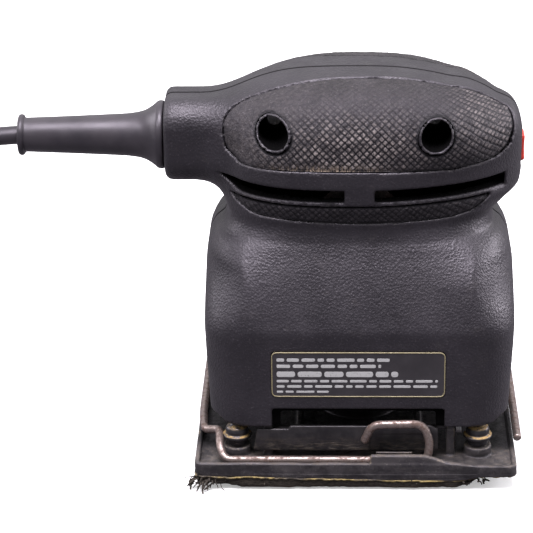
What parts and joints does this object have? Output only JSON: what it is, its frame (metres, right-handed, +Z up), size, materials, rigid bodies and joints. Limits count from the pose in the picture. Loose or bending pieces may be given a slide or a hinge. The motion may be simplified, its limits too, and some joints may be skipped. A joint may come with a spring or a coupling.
{
  "type": "palm sander",
  "caption": "Corded quarter-sheet palm sander with an oval textured grip, a square orbital platen, wire sheet clamps and a red rocker switch.",
  "frame": {"origin": "the point under the motor's axis on the pad's flat underside", "axes": "+Z up along the motor's axis, +X towards the rocker switch, the cord leaves towards -X, -Y is the side with the nameplate and the screw wells"},
  "size_m": [0.2116, 0.108, 0.1395],
  "materials": {
    "black_housing": "fine leather grain, satin",
    "dark_plastic": "plain moulded",
    "black_rubber": "semi-matt",
    "white_insulation": "plain",
    "red_rocker": "semi-gloss",
    "cast_platen": "black painted casting, dusty",
    "foam_pad": "worn foam",
    "spring_wire": "tarnished, lightly rusted",
    "black_steel": "blackened sheet",
    "steel": "zinc plated or ground",
    "lamination": "dark electrical steel and iron",
    "copper": "enamelled or bare copper",
    "brass": "bright",
    "carbon": "graphite",
    "label": "satin black plate"
  },
  "bodies": {
    "housing": {"housing_near": "black_housing", "housing_far": "black_housing", "housing_screw_1": "steel", "housing_screw_2": "steel", "nameplate": "label", "strain_relief": "black_rubber", "cord": "black_rubber", "cord_clamp": "dark_plastic", "cord_clamp_screw_1": "steel", "cord_clamp_screw_2": "steel", "lead_wire_live": "black_rubber", "lead_wire_neutral": "white_insulation", "switch_body": "dark_plastic", "lower_bearing": "steel", "upper_bearing": "steel", "field_stack": "lamination", "field_coil_near": "copper", "field_coil_far": "copper", "brush_holder_left": "brass", "brush_holder_right": "brass", "brush_spring_left": "steel", "brush_spring_right": "steel"},
    "rotor": {"armature_shaft": "steel", "armature_core": "lamination", "armature_winding": "copper", "commutator": "copper", "cooling_fan": "dark_plastic", "counterweight": "lamination", "platen_screw": "steel", "platen_washer": "steel"},
    "platen": {"platen": "cast_platen", "platen_bearing": "steel", "pad": "foam_pad", "hinge_spring_near": "steel", "hinge_spring_far": "steel", "rubber_foot_1": "black_rubber", "rubber_foot_2": "black_rubber", "rubber_foot_3": "black_rubber", "rubber_foot_4": "black_rubber", "foot_screw_1": "steel", "foot_screw_2": "steel", "foot_screw_3": "steel", "foot_screw_4": "steel"},
    "lever_near": {"clamp_lever_near": "spring_wire"},
    "lever_far": {"clamp_lever_far": "spring_wire"},
    "flap_near": {"clamp_plate_near": "black_steel"},
    "flap_far": {"clamp_plate_far": "black_steel"},
    "rocker": {"switch_rocker": "red_rocker"},
    "brush_left": {"carbon_brush_left": "carbon"},
    "brush_right": {"carbon_brush_right": "carbon"}
  },
  "joints": [
    {"name": "armature_spin", "type": "hinge", "parent": "housing", "child": "rotor", "pos_m": [0, 0, 0.05], "axis": [0, 0, 1], "continuous": true},
    {"name": "platen_orbit", "type": "hinge", "parent": "rotor", "child": "platen", "pos_m": [0, -0.0008, 0.013], "axis": [0, 0, 1], "continuous": true},
    {"name": "clamp_lever_near_lift", "type": "hinge", "parent": "platen", "child": "lever_near", "pos_m": [0, -0.0512, 0.0095], "axis": [1, 0, 0], "range_deg": [0, 24]},
    {"name": "clamp_lever_far_lift", "type": "hinge", "parent": "platen", "child": "lever_far", "pos_m": [0, 0.0496, 0.0095], "axis": [-1, 0, 0], "range_deg": [0, 24]},
    {"name": "clamp_plate_near_open", "type": "hinge", "parent": "platen", "child": "flap_near", "pos_m": [0, -0.042, 0.0166], "axis": [-1, 0, 0], "range_deg": [0, 9.6]},
    {"name": "clamp_plate_far_open", "type": "hinge", "parent": "platen", "child": "flap_far", "pos_m": [0, 0.0404, 0.0166], "axis": [1, 0, 0], "range_deg": [0, 9.6]},
    {"name": "rocker_tilt", "type": "hinge", "parent": "housing", "child": "rocker", "pos_m": [0.0546, 0, 0.109], "axis": [0, 1, 0], "range_deg": [0, 16]},
    {"name": "brush_left_travel", "type": "slide", "parent": "housing", "child": "brush_left", "axis": [-1, 0, 0], "range_m": [0, 0.003], "deforming": ["brush_spring_left"]},
    {"name": "brush_right_travel", "type": "slide", "parent": "housing", "child": "brush_right", "axis": [1, 0, 0], "range_m": [0, 0.003], "deforming": ["brush_spring_right"]}
  ],
  "couplings": [
    {"joint": "platen_orbit", "follows": "armature_spin", "ratio": -1},
    {"joint": "clamp_plate_near_open", "follows": "clamp_lever_near_lift", "ratio": 0.4},
    {"joint": "clamp_plate_far_open", "follows": "clamp_lever_far_lift", "ratio": 0.4}
  ]
}
